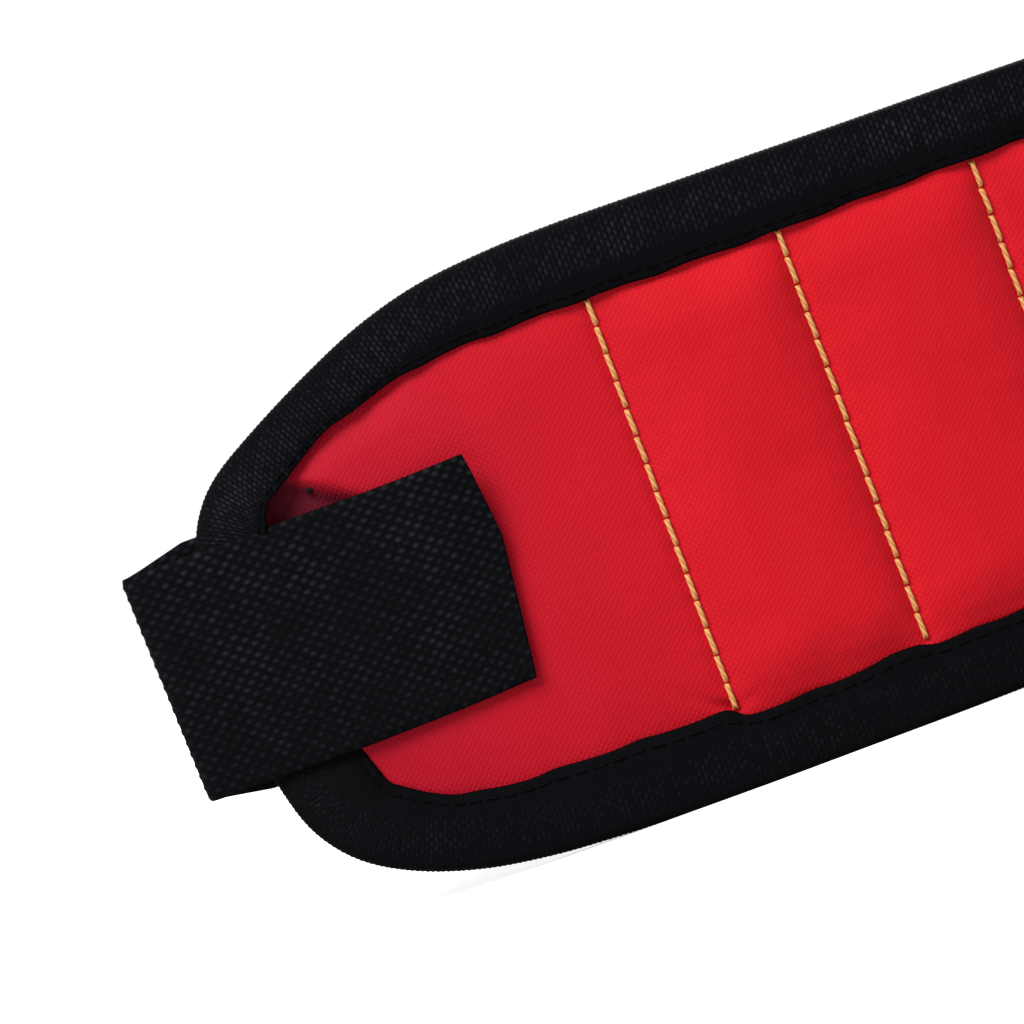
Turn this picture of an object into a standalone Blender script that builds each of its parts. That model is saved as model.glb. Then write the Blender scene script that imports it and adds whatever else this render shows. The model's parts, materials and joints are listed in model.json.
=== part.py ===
"""Wrist pin cushion: a quilted magnetic wristband that stands on its long bottom edge.

Frame (metres): +X runs along the band and the strap end is at -X, the outer red face looks
towards -Y, and +Z runs across the band's width from its bottom edge. Each segment is modelled
in the frame of its own hinge empty: x from the hinge line, y = 0 on the back of the binding
with the front towards -y, and z up from the bottom edge. A turn about +Z curls the band.
"""
import math

import bmesh
import bpy
from mathutils import Vector, geometry

MM = 0.001
COLLECTION = "wrist_pin_cushion"

# Band
BAND_WIDTH = 94.4 * MM
TIP_LENGTH = 50 * MM                # band's end to the flex line in each end
INNER_LENGTH = 24 * MM              # flex line to the first seam
POCKET_LENGTHS = [32 * MM, 33.5 * MM, 33.5 * MM, 33.5 * MM, 33.5 * MM]
GAP = 0.3 * MM                      # between pieces that touch
REST_BEND = math.radians(5)         # at each hinge line

# Edge of an end, in mm: (distance from the band's end, height over the centre line)
END_EDGE = [(50, 45.4), (39, 42.5), (28, 38), (17, 32.5), (9.5, 28), (5.2, 23.5), (2.6, 18),
            (0.8, 9.5), (0, -2), (0.9, -13), (2.3, -22), (5, -30), (10.2, -36.4), (18, -41),
            (28, -44.2), (39, -45.9), (50, -46.6)]
EDGE_STEPS = 2                      # faces between two points of END_EDGE

# Binding: a folded tape
BINDING_DEPTH = 12 * MM             # on each face of the band
BINDING_THICKNESS = 4.6 * MM        # over both faces
TAPE = 0.9 * MM

# Cover and lining: y of their faces where they lie in the binding, and how far they swell
PANEL_INSET = 2 * MM                # band's edge to the panels' edge, inside the fold
COVER_FRONT = -3.4 * MM
COVER_BACK = -2.8 * MM
COVER_SWELL = 2.6 * MM
LINING_FRONT = -2.5 * MM
LINING_BACK = -1.2 * MM
LINING_SWELL = 2.7 * MM
END_LINING_SWELL = 1.2 * MM
RAMP = 8 * MM                       # from a panel's visible edge to its flat middle
RAMP_STOPS = (0, 0.22, 0.55, 1)     # where the ramp has vertices
END_PANEL_START = 4.5 * MM          # panels' end, hidden in the tip's binding

# Magnets, three discs to a pocket
MAGNET_RADIUS = 9 * MM
MAGNET_THICKNESS = 1.5 * MM
MAGNET_SPACING = 21 * MM
MAGNET_NAMES = ["bottom", "middle", "top"]

# Strap: webbing sewn behind the tip and folded over onto the front
STRAP_WIDTH = 38 * MM
STRAP_THICKNESS = 1.4 * MM
STRAP_CENTRE_Z = 46.2 * MM
FOLD_RADIUS = 3.3 * MM              # of the strap's middle layer
FOLD_CENTRE = Vector((-6 * MM, -BINDING_THICKNESS / 2, 0))
ANCHOR_END_X = 30 * MM
TONGUE_END_X = 48.5 * MM
FOLD_SPLIT = math.radians(45)       # the fold's middle half is the link
HOOK_START, HOOK_END, HOOK_WIDTH, HOOK_THICKNESS = 15 * MM, 45 * MM, 34 * MM, 0.9 * MM
LOOP_START, LOOP_END, LOOP_WIDTH, LOOP_THICKNESS = 4 * MM, 42 * MM, 38 * MM, 1.3 * MM

THREAD_RADIUS = 0.35 * MM

MATERIALS = {                       # base colour, roughness, metallic
    "red_cover": ((0.62, 0.012, 0.02), 0.75, 0.0),
    "black_binding": ((0.006, 0.006, 0.007), 0.8, 0.0),
    "black_webbing": ((0.008, 0.008, 0.009), 0.75, 0.0),
    "lining_mesh": ((0.02, 0.02, 0.022), 0.9, 0.0),
    "gold_thread": ((0.72, 0.37, 0.1), 0.6, 0.0),
    "nickel": ((0.75, 0.74, 0.72), 0.2, 1.0),
    "hook_tape": ((0.01, 0.01, 0.011), 0.6, 0.0),
    "loop_patch": ((0.012, 0.012, 0.013), 0.95, 0.0),
}


# ---- Scene helpers ----

def clear_scene():
    for old in list(bpy.data.objects):
        bpy.data.objects.remove(old, do_unlink=True)


def make_collection():
    collection = bpy.data.collections.new(COLLECTION)
    bpy.context.scene.collection.children.link(collection)
    return collection


def make_material(name):
    colour, roughness, metallic = MATERIALS[name]
    material = bpy.data.materials.new(name)
    material.use_nodes = True
    shader = material.node_tree.nodes["Principled BSDF"]
    shader.inputs["Base Color"].default_value = (*colour, 1)
    shader.inputs["Roughness"].default_value = roughness
    shader.inputs["Metallic"].default_value = metallic
    return material


def add_piece(name, data, material, hinge):
    data.materials.clear()
    data.materials.append(make_material(material))
    piece = bpy.data.objects.new(name, data)
    piece.parent = hinge
    bpy.data.collections[COLLECTION].objects.link(piece)
    return piece


def add_hinge(name, parent, location, turn=0.0):
    """An empty on a joint's axis, which its segment's pieces hang from."""
    hinge = bpy.data.objects.new(name, None)
    hinge.empty_display_size = 0.01
    hinge.parent = parent
    hinge.location = location
    hinge.rotation_euler.z = turn
    bpy.data.collections[COLLECTION].objects.link(hinge)
    return hinge


# ---- Mesh helpers ----

def grid_mesh(name, rows):
    """A sheet of quads through rows of points, all rows of one length."""
    down, across = len(rows) - 1, len(rows[0]) - 1
    sheet = bmesh.new()
    bmesh.ops.create_grid(sheet, x_segments=down, y_segments=across, size=1)
    for vertex in sheet.verts:
        row = rows[round((vertex.co.x + 1) / 2 * down)]
        vertex.co = row[round((vertex.co.y + 1) / 2 * across)]
    mesh = bpy.data.meshes.new(name)
    sheet.to_mesh(mesh)
    sheet.free()
    return mesh


def add_shell(name, rows, thickness, material, hinge):
    """A sheet thickened equally to both sides."""
    shell = add_piece(name, grid_mesh(name, rows), material, hinge)
    solid = shell.modifiers.new("thickness", "SOLIDIFY")
    solid.thickness = thickness
    solid.offset = 0
    solid.use_even_offset = True
    return shell


def add_pad(name, rows, front_y, material, hinge):
    """A back sheet closed by extruding its faces to y = front_y(point)."""
    mesh = grid_mesh(name, rows)
    pad = bmesh.new()
    pad.from_mesh(mesh)
    grown = bmesh.ops.extrude_face_region(pad, geom=pad.faces[:], use_keep_orig=True)
    for vertex in (v for v in grown["geom"] if isinstance(v, bmesh.types.BMVert)):
        vertex.co.y = front_y(vertex.co)
    bmesh.ops.recalc_face_normals(pad, faces=pad.faces[:])
    pad.to_mesh(mesh)
    pad.free()
    return add_piece(name, mesh, material, hinge)


def add_box(name, low, high, material, hinge):
    box = bmesh.new()
    bmesh.ops.create_cube(box, size=1)
    size = [h - l for l, h in zip(low, high)]
    middle = [(h + l) / 2 for l, h in zip(low, high)]
    bmesh.ops.scale(box, vec=size, verts=box.verts)
    bmesh.ops.translate(box, vec=middle, verts=box.verts)
    mesh = bpy.data.meshes.new(name)
    box.to_mesh(mesh)
    box.free()
    return add_piece(name, mesh, material, hinge)


def smooth_path(points, steps):
    """A Catmull-Rom curve through the points, with steps pieces between each pair."""
    padded = [2 * points[0] - points[1], *points, 2 * points[-1] - points[-2]]
    path = []
    for a, b, c, d in zip(padded, padded[1:], padded[2:], padded[3:]):
        for t in (i / steps for i in range(steps)):
            bend = (2 * a - 5 * b + 4 * c - d) * t * t + (3 * b - a - 3 * c + d) * t ** 3
            path.append(b + 0.5 * ((c - a) * t + bend))
    return path + [points[-1]]


# ---- Outline ----

def end_outline():
    """An end's edge in the XZ plane, from the flex line along the top to the flex line below."""
    limit = TIP_LENGTH - GAP / 2
    points = [Vector((min(x * MM, limit), 0, BAND_WIDTH / 2 + z * MM)) for x, z in END_EDGE]
    return smooth_path(points, EDGE_STEPS)


def inward(path, i):
    """Unit direction into the band at point i of an end's outline, straight at the flex line."""
    if i in (0, len(path) - 1):
        return Vector((0, 0, -1 if i == 0 else 1))
    reach = EDGE_STEPS
    along = path[min(i + reach, len(path) - 1)] - path[max(i - reach, 0)]
    return Vector((-along.z, 0, along.x)).normalized()


def inset_height(x, side):
    """z of the end panels' top (side 1) or bottom (side -1) edge at x."""
    path = end_outline()
    moved = [p + inward(path, i) * PANEL_INSET for i, p in enumerate(path)]
    half = [p for p in moved if (p.z - BAND_WIDTH / 2) * side > 0]
    half.sort(key=lambda p: p.x)
    for a, b in zip(half, half[1:]):
        if a.x <= x <= b.x:
            return a.z + (b.z - a.z) * (x - a.x) / (b.x - a.x)
    return half[-1].z


def distance_to_end_edge(x, z):
    """How far a point of an end's panel is from the end's edge."""
    path = end_outline()
    point = Vector((x, 0, z))
    nearest = [geometry.intersect_point_line(point, a, b) for a, b in zip(path, path[1:])]
    spans = zip(path, path[1:], nearest)
    return min((point - a.lerp(b, min(max(share, 0), 1))).length for a, b, (_, share) in spans)


def inner_edge(x, side):
    """z of the band's edge over the short segment between an end's flex line and seam."""
    start = BAND_WIDTH / 2 + END_EDGE[0 if side > 0 else -1][1] * MM
    finish = BAND_WIDTH / 2 + side * BAND_WIDTH / 2
    return start + (finish - start) * x / INNER_LENGTH


def straight_edge(x, side):
    return BAND_WIDTH / 2 + side * BAND_WIDTH / 2


# ---- Binding ----

def tape_section(point, into):
    """The folded tape's section at an edge point: front edge, round the fold, back edge."""
    middle = TAPE / 2
    front, back, fold = -BINDING_THICKNESS + middle, -middle, 0.8 * MM
    stops = [(BINDING_DEPTH, front), (middle + fold, front), (middle, front + fold),
             (middle, back - fold), (middle + fold, back), (BINDING_DEPTH, back)]
    return [point + into * depth + Vector((0, y, 0)) for depth, y in stops]


def add_tip_binding(name, hinge, flip):
    path = end_outline()
    rows = [tape_section(p, inward(path, i)) for i, p in enumerate(path)]
    add_shell(name, [[flip(p) for p in row] for row in rows], TAPE, "black_binding", hinge)


def add_edge_binding(name, length, edge, side, hinge, flip):
    ends = [Vector((x, 0, edge(x, side))) for x in (GAP / 2, length - GAP / 2)]
    rows = [tape_section(p, Vector((0, 0, -side))) for p in ends]
    add_shell(name, [[flip(p) for p in row] for row in rows], TAPE, "black_binding", hinge)


# ---- Cover and lining ----

def swell(x, edge_distance, start, end):
    """0 where a panel leaves the tape or meets a seam, 1 on its flat middle."""
    share = 1
    for distance in (min(x - start, end - x), edge_distance - BINDING_DEPTH):
        t = min(max(distance / RAMP, 0), 1)
        share *= 1 - (1 - t) ** 2
    return share


def row_shares():
    """Rows of a panel as shares of its height: in the tape, up the ramp, over the middle."""
    height = BAND_WIDTH - 2 * PANEL_INSET
    hidden = BINDING_DEPTH - PANEL_INSET
    low = [0] + [(hidden + RAMP * stop) / height for stop in RAMP_STOPS]
    return low + [1 - share for share in reversed(low)]


def add_panels(name, columns, bottom, top, edge_distance, limits, swells, hinge, flip):
    """The cover and the padded lining of a segment, between heights bottom(x) and top(x)."""
    def lift(x, z):
        return swell(x, edge_distance(x, z), *limits)

    def sheet(face_y, height):
        heights = [[bottom(x) + share * (top(x) - bottom(x)) for share in row_shares()]
                   for x in columns]
        return [[flip(Vector((x, face_y + height * lift(x, z), z))) for z in column]
                for x, column in zip(columns, heights)]

    cover_swell, lining_swell = swells
    add_pad(f"{name}_cover", sheet(COVER_BACK, -cover_swell),
            lambda p: p.y + COVER_FRONT - COVER_BACK, "red_cover", hinge)
    add_pad(f"{name}_lining", sheet(LINING_BACK, lining_swell),
            lambda p: LINING_FRONT, "lining_mesh", hinge)


# ---- Segments ----

def keep(point):
    return point


def mirrored(length):
    """Turns a left segment's points into the right one's: the far side comes first."""
    return lambda p: Vector((length - p.x, p.y, p.z))


def add_tip(name, hinge, flip):
    add_tip_binding(f"{name}_binding", hinge, flip)
    reach = TIP_LENGTH - GAP / 2 - END_PANEL_START
    columns = [END_PANEL_START + reach * (i / 7) ** 1.5 for i in range(8)]
    add_panels(name, columns, lambda x: inset_height(x, -1), lambda x: inset_height(x, 1),
               distance_to_end_edge, (0, 2 * TIP_LENGTH), (0, END_LINING_SWELL), hinge, flip)


def add_inner(name, hinge, flip):
    for side, word in ((1, "top"), (-1, "bottom")):
        add_edge_binding(f"{name}_binding_{word}", INNER_LENGTH, inner_edge, side, hinge, flip)
    last = INNER_LENGTH - GAP / 2
    columns = [GAP / 2] + [last - RAMP * stop for stop in reversed(RAMP_STOPS)]
    add_panels(name, columns, lambda x: inner_edge(x, -1) + PANEL_INSET,
               lambda x: inner_edge(x, 1) - PANEL_INSET,
               lambda x, z: min(z - inner_edge(x, -1), inner_edge(x, 1) - z),
               (-TIP_LENGTH, INNER_LENGTH), (0, END_LINING_SWELL), hinge, flip)


def add_pocket(name, length, hinge):
    for side, word in ((1, "top"), (-1, "bottom")):
        add_edge_binding(f"{name}_binding_{word}", length, straight_edge, side, hinge, keep)
    ramp = [max(RAMP * stop, GAP / 2) for stop in RAMP_STOPS]
    columns = ramp + [length - x for x in reversed(ramp)]
    add_panels(name, columns, lambda x: PANEL_INSET, lambda x: BAND_WIDTH - PANEL_INSET,
               lambda x, z: min(z, BAND_WIDTH - z), (0, length), (COVER_SWELL, LINING_SWELL),
               hinge, keep)
    for i, word in enumerate(MAGNET_NAMES):
        height = BAND_WIDTH / 2 + (i - 1) * MAGNET_SPACING
        add_magnet(f"{name}_magnet_{word}", length / 2, height, hinge)


def add_magnet(name, x, z, hinge):
    disc = bmesh.new()
    bmesh.ops.create_cone(disc, cap_ends=True, segments=24, radius1=MAGNET_RADIUS,
                          radius2=MAGNET_RADIUS, depth=MAGNET_THICKNESS)
    mesh = bpy.data.meshes.new(name)
    disc.to_mesh(mesh)
    disc.free()
    magnet = add_piece(name, mesh, "nickel", hinge)
    magnet.rotation_euler.x = math.pi / 2
    magnet.location = (x, LINING_FRONT - GAP - MAGNET_THICKNESS / 2, z)


def add_seam_thread(name, hinge):
    """The seam's thread lies on the cover along the hinge line."""
    y = COVER_FRONT - GAP - THREAD_RADIUS
    start = BINDING_DEPTH + GAP
    data = bpy.data.curves.new(name, "CURVE")
    data.dimensions = "3D"
    data.bevel_depth = THREAD_RADIUS
    data.bevel_resolution = 1
    data.use_fill_caps = True
    line = data.splines.new("POLY")
    line.points.add(1)
    for point, z in zip(line.points, (start, BAND_WIDTH - start)):
        point.co = (0, y, z, 1)
    add_piece(name, data, "gold_thread", hinge)


# ---- Strap ----

def fold_point(angle):
    """A point on the fold's middle layer: 0 on the back of the band, 180 degrees in front."""
    back = Vector((-math.sin(angle), math.cos(angle), 0))
    return FOLD_CENTRE + FOLD_RADIUS * back


def fold_hinge_point(angle):
    """The hinge lies on the strap's outer face, so that opening the fold closes no gap."""
    radius = FOLD_RADIUS + STRAP_THICKNESS / 2
    return FOLD_CENTRE + radius * Vector((-math.sin(angle), math.cos(angle), 0))


def fold_arc(start, finish, steps):
    return [fold_point(start + (finish - start) * i / steps) for i in range(steps + 1)]


def add_strap_layer(name, path, origin, hinge):
    """Webbing along a path in the XY plane, given in the tip's frame."""
    heights = [STRAP_CENTRE_Z - STRAP_WIDTH / 2, STRAP_CENTRE_Z + STRAP_WIDTH / 2]
    rows = [[Vector((p.x - origin.x, p.y - origin.y, z)) for z in heights] for p in path]
    return add_shell(name, rows, STRAP_THICKNESS, "black_webbing", hinge)


def add_strap(tip):
    """Anchor on the tip, link round the fold, and tongue with its hook tape on the front."""
    half_gap = GAP / 2 / FOLD_RADIUS
    first, second = FOLD_SPLIT, math.pi - FOLD_SPLIT
    behind = fold_arc(0, first - half_gap, 3)
    anchor = [Vector((ANCHOR_END_X, behind[0].y, 0)), *behind]
    add_strap_layer("strap_anchor", anchor, Vector(), tip)

    link_origin = fold_hinge_point(first)
    link = add_hinge("strap_link_hinge", tip, link_origin)
    add_strap_layer("strap_fold", fold_arc(first + half_gap, second - half_gap, 4),
                    link_origin, link)

    tongue_origin = fold_hinge_point(second)
    tongue = add_hinge("strap_tongue_hinge", link, tongue_origin - link_origin)
    front = fold_arc(second + half_gap, math.pi, 3)
    end = Vector((TONGUE_END_X, front[-1].y, 0))
    add_strap_layer("strap_tongue", [*front, end], tongue_origin, tongue)

    face = front[-1].y + STRAP_THICKNESS / 2 + GAP - tongue_origin.y
    low = (HOOK_START - tongue_origin.x, face, STRAP_CENTRE_Z - HOOK_WIDTH / 2)
    high = (HOOK_END - tongue_origin.x, face + HOOK_THICKNESS, STRAP_CENTRE_Z + HOOK_WIDTH / 2)
    add_box("hook_tape", low, high, "hook_tape", tongue)


def add_loop_patch(tip):
    """The soft side of the fastening, on the wrist side of the far end."""
    middle = BAND_WIDTH / 2
    low = (LOOP_START, GAP, middle - LOOP_WIDTH / 2)
    high = (LOOP_END, GAP + LOOP_THICKNESS, middle + LOOP_WIDTH / 2)
    add_box("loop_patch", low, high, "loop_patch", tip)


# ---- Assembly ----

def centre_on_base(root):
    """Moves the root so that the origin is under the middle of the part's bounding box."""
    bpy.context.view_layer.update()
    shapes = bpy.context.evaluated_depsgraph_get()
    points = []
    for piece in bpy.data.collections[COLLECTION].objects:
        if piece.type != "EMPTY":
            shape = piece.evaluated_get(shapes)
            mesh = shape.to_mesh()
            points += [shape.matrix_world @ vertex.co for vertex in mesh.vertices]
            shape.to_mesh_clear()
    for axis in (0, 1):
        values = [p[axis] for p in points]
        root.location[axis] -= (min(values) + max(values)) / 2


def build():
    clear_scene()
    make_collection()
    hinges_before_middle = 2 + len(POCKET_LENGTHS) // 2
    root = add_hinge("left_tip_frame", None, (0, 0, 0), -REST_BEND * hinges_before_middle)
    add_tip("left_tip", root, keep)
    add_strap(root)
    inner = add_hinge("left_inner_hinge", root, (TIP_LENGTH, 0, 0), REST_BEND)
    add_inner("left_inner", inner, keep)

    before, step = inner, INNER_LENGTH
    for number, length in enumerate(POCKET_LENGTHS, 1):
        hinge = add_hinge(f"pocket_{number}_hinge", before, (step, 0, 0), REST_BEND)
        add_pocket(f"pocket_{number}", length, hinge)
        add_seam_thread(f"seam_thread_{number}", hinge)
        before, step = hinge, length

    inner = add_hinge("right_inner_hinge", before, (step, 0, 0), REST_BEND)
    add_inner("right_inner", inner, mirrored(INNER_LENGTH))
    add_seam_thread(f"seam_thread_{len(POCKET_LENGTHS) + 1}", inner)
    tip = add_hinge("right_tip_hinge", inner, (INNER_LENGTH, 0, 0), REST_BEND)
    add_tip("right_tip", tip, mirrored(TIP_LENGTH))
    add_loop_patch(tip)
    centre_on_base(root)


build()
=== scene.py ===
"""Looks of the wrist pin cushion: fabric, bindings, webbing, stitches, studio and camera.

The band is made flat and then bent to its rest shape. A flat point is (s, y, z) in metres: s
runs along the band from the strap end, y = 0 is the back of the binding and the front is at
negative y, and z is up from the bottom edge. Every fabric layer is cut in the middle of each
segment, so that each piece bends over one hinge.
"""
import json
import math

import bpy
import numpy as np
from mathutils import Matrix, Vector


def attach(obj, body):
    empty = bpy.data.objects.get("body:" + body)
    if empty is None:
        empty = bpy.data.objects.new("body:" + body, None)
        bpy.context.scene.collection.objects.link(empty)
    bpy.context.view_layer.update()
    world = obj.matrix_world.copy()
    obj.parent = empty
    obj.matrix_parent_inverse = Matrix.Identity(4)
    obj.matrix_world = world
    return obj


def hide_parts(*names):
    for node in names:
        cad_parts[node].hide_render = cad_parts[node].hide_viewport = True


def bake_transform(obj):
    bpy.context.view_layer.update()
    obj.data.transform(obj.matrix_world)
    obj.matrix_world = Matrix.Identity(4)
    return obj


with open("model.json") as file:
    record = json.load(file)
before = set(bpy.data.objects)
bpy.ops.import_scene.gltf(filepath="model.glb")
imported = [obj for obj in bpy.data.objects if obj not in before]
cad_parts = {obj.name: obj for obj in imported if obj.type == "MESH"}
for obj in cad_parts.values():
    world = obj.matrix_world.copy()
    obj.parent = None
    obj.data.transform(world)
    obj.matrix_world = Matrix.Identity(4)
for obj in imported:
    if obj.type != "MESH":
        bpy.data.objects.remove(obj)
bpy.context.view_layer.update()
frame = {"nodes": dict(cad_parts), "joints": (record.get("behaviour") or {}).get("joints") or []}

MM = 0.001
RANDOM_SEED = 7

# Band, as in the CAD
SEGMENTS = ["left_tip", "left_inner", "pocket_1", "pocket_2", "pocket_3", "pocket_4",
            "pocket_5", "right_inner", "right_tip"]
BAND_WIDTH = 94.4 * MM
TIP_LENGTH = 50 * MM
REST_BEND = math.radians(5)
TIP_BLEND = 5 * MM                  # how far the bend of a tip's hinge reaches into the tip
# Outline of the strap end, from the top edge round to the bottom edge: millimetres along the
# band, and over its centre line
TIP_EDGE = [(74, 47.2), (62, 46.8), (50, 45.5), (39, 42.6), (28, 38), (17, 32.5), (9.5, 28),
            (5.2, 23.5), (2.6, 18), (0.8, 9.5), (0, -2), (0.9, -13), (2.3, -22), (5, -30),
            (10.2, -36.4), (18, -41), (28, -44.2), (39, -45.9), (50, -46.6), (62, -47.0),
            (74, -47.2)]
TIP_END = 10                        # TIP_EDGE's point at the band's end
TIP_STEPS = 12                      # steps of the smooth outline between two points

# Cover and lining
COVER_Y = -3.45 * MM
COVER_SWELL = 2.3 * MM              # over a pocket
INNER_SWELL = 0.7 * MM              # over a short inner segment
LINING_Y = -1.2 * MM
LINING_SWELL = 2.5 * MM
END_LINING_SWELL = 1.1 * MM
RAMP = 9 * MM                       # how far a swelling takes to rise
LONG_RAMP, SHORT_RAMP = 14 * MM, 7.5 * MM
COVER_GROWTH, LINING_GROWTH = 0.003, 0.01
LARGEST_SHIFT = 1 * MM              # of the cloth simulation
SIMULATED_FRAMES = 20
TUCK = 2.1 * MM
TUCK_FOLD = (30 * MM, 66.5 * MM), (19 * MM, 74 * MM)
PANEL_INSET = 4 * MM
PANEL_START = 5 * MM
PINNED_ENDS = 9 * MM
GRID_STEP = 2.35 * MM
GRID_ROWS = 38
TIP_COLUMNS = 18
UPSAMPLE = 4
# Creases at the first seam's lower end: reach and climb in millimetres, and depth
SEAM_CREASES = [(10.1, 7.6, 0.3), (7.6, 4.2, 0.36), (5.0, 1.6, 0.3)]

# Seams
SEAM_TOP, SEAM_BOTTOM = 81.8 * MM, 12.6 * MM
STITCH = 4.5 * MM
THREAD_RADIUS = 0.42 * MM

# Binding. A width line is (millimetres along the band, millimetres of tape on the front).
BINDING_STEP = 0.225 * MM
RIB_PITCH = 0.82 * MM
DASH_PITCH = 1.35 * MM
TAPE_THICKNESS = 0.55 * MM
FRONT_COLUMNS, BACK_COLUMNS = 30, 16
BACK_WIDTH = 11.3 * MM
FOLD_START = 0.07                   # where the fold starts, as a share of the width
CORNER_LIFT = 2.3 * MM              # of the tape's inner edge above the strap
TAPE_Y = -4.3 * MM
TAPE_BACK_Y = -0.35 * MM
SLANT = 30 * MM                     # height over which the bottom's width turns into the top's
EDGE_STITCH = 3.2 * MM
EDGE_THREAD_RADIUS = 0.2 * MM
TOP_WIDTHS = [(0, 11.5), (6, 11.0), (12, 9.2), (24, 8.4), (34, 9.6), (55, 12.0), (75, 12.7),
              (106, 12.9), (118, 12.6), (157, 12.2)]
BOTTOM_WIDTHS = [(0, 13.0), (4, 14.4), (12, 13.2), (22, 12.2), (32, 12.1), (45, 12.8), (60, 13.1),
                 (73, 13.0), (75.5, 11.3), (92, 11.6), (104, 12.6), (107.5, 11.6), (122, 12.0),
                 (138, 12.7), (141, 11.2), (157, 12.0)]

# Strap
STRAP_WIDTH = 38 * MM
STRAP_THICKNESS = 1.3 * MM
FOLD_RADIUS = 3.3 * MM
FOLD_CENTRE = (-6 * MM, -2.3 * MM)
STRAP_Z = 46.2 * MM
ANCHOR_END = 30 * MM
TONGUE_END = 48.5 * MM
WARP_PITCH, FLOAT_PITCH = 0.95 * MM, 2.45 * MM
STRAP_STEP = 0.28 * MM
STRAP_COLUMNS = 230
STRAP_BOX = 7 * MM, 26 * MM, STRAP_Z - 17 * MM, STRAP_Z + 18 * MM
STRAP_THREAD_RADIUS = 0.33 * MM
KNOT = 22.7 * MM, 68.4 * MM
KNOT_RADIUS = 0.62 * MM

# Fastening
HOOK_TAPE = 15 * MM, 45 * MM, STRAP_Z - 17 * MM, STRAP_Z + 17 * MM
HOOK_TAPE_Y = -4.85 * MM
LOOP_START, LOOP_LENGTH = 4 * MM, 38 * MM       # from the last hinge
LOOP_COUNT = 2300
PAD_STEPS = 81

# Camera
CAMERA_TARGET = 51.8 * MM, -4 * MM, 54.15 * MM  # a flat point of the band
CAMERA_AZIMUTH, CAMERA_ROLL = math.radians(-14.6), math.radians(-20.05)
CAMERA_DISTANCE = 0.7
CAMERA_VIEW = 161.5 * MM            # width seen at the target


# ---- Layout ----

def hinges():
    """Pivots of the hinges along the band, in the row frame."""
    found = {j["child"]: j["pos_m"] for j in frame["joints"]}
    return [np.array(found[name]) for name in SEGMENTS[1:]]


PIVOTS = hinges()
STATIONS = [TIP_LENGTH]
for before, after in zip(PIVOTS, PIVOTS[1:]):
    STATIONS.append(STATIONS[-1] + float(np.linalg.norm(after - before)))
BAND_LENGTH = STATIONS[-1] + TIP_LENGTH
FIRST_SPAN = PIVOTS[1] - PIVOTS[0]
HEADING = math.atan2(FIRST_SPAN[1], FIRST_SPAN[0]) - REST_BEND
CUTS = [(a + b) / 2 for a, b in zip(STATIONS, STATIONS[1:])]
SPANS = list(zip([TIP_LENGTH - TIP_BLEND, *CUTS], [*CUTS, STATIONS[-1] + TIP_BLEND]))


def turned(x, y, angle):
    """x and y turned about the origin."""
    return x * np.cos(angle) - y * np.sin(angle), x * np.sin(angle) + y * np.cos(angle)


def smoothstep(value):
    return value * value * (3 - 2 * value)


def tip_frame(points):
    """Flat points moved to the left tip's place without any bend, in the row frame."""
    points = np.array(points, float).reshape(-1, 3)
    x, y = turned(points[:, 0] - TIP_LENGTH, points[:, 1], HEADING)
    return np.stack([x + PIVOTS[0][0], y + PIVOTS[0][1], points[:, 2]], 1)


def to_rest(points):
    """Flat points bent to the rest shape, in the row frame."""
    s, y, z = np.array(points, float).reshape(-1, 3).T
    x = s
    for station, (start, end) in reversed(list(zip(STATIONS, SPANS))):
        share = smoothstep(np.clip((s - start) / (end - start), 0, 1))
        x, y = turned(x - station, y, REST_BEND * share)
        x = x + station
    return tip_frame(np.stack([x, y, z], 1))


def own_segments(k):
    """Segments whose CAD solids the pieces over hinge k stand for: the last takes two."""
    return SEGMENTS[k:k + 2] if k == len(SPANS) - 1 else SEGMENTS[k:k + 1]


def over_hinge(obj):
    """Bake the transform of obj, a piece over one hinge, into its mesh."""
    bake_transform(obj)


# ---- Curves and grids ----

def catmull(points, steps):
    """A smooth line or grid through points along their first axis."""
    points = np.asarray(points, float)
    ends = [2 * points[:1] - points[1:2], points, 2 * points[-1:] - points[-2:-1]]
    p = np.concatenate(ends)
    a, b, c, d = p[:-3], p[1:-2], p[2:-1], p[3:]
    out = []
    for t in np.arange(steps) / steps:
        out.append(b + 0.5 * ((c - a) * t + (2 * a - 5 * b + 4 * c - d) * t * t
                              + (3 * b - a - 3 * c + d) * t ** 3))
    line = np.stack(out, 1).reshape(-1, *points.shape[1:])
    return np.concatenate([line, points[-1:]])


def running_length(line):
    """Length along a line up to each of its points."""
    return np.r_[0, np.cumsum(np.linalg.norm(np.diff(line, axis=0), axis=1))]


def tangents(line):
    """Unit directions along a line."""
    along = np.gradient(line, axis=0)
    return along / np.linalg.norm(along, axis=1, keepdims=True)


def even(line, step):
    """The line resampled to even steps of about the given length."""
    lengths = running_length(line)
    count = max(2, round(lengths[-1] / step) + 1)
    at = np.linspace(0, lengths[-1], count)
    return np.stack([np.interp(at, lengths, line[:, i]) for i in range(line.shape[1])], 1)


CHANCES = np.random.default_rng(RANDOM_SEED).random((499, 97))


def chance(number, row):
    """A fixed random number, 0 to 1, for a numbered float of a numbered yarn."""
    return CHANCES[number % CHANCES.shape[0], row % CHANCES.shape[1]]


def half_edge(side):
    """(s, height over the centre line) along the whole top (1) or bottom (-1) edge."""
    line = catmull(np.array(TIP_EDGE) * MM, TIP_STEPS)
    end = TIP_END * TIP_STEPS
    part = line[:end + 1][::-1] if side > 0 else line[end:]
    return np.concatenate([part, part[::-1] * (-1, 1) + (BAND_LENGTH, 0)])


EDGES = {side: half_edge(side) for side in (1, -1)}


def edge_z(s, side):
    """Height of the band's top or bottom edge at stations s."""
    line = EDGES[side]
    return BAND_WIDTH / 2 + np.interp(s, line[:, 0], line[:, 1])


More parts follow.
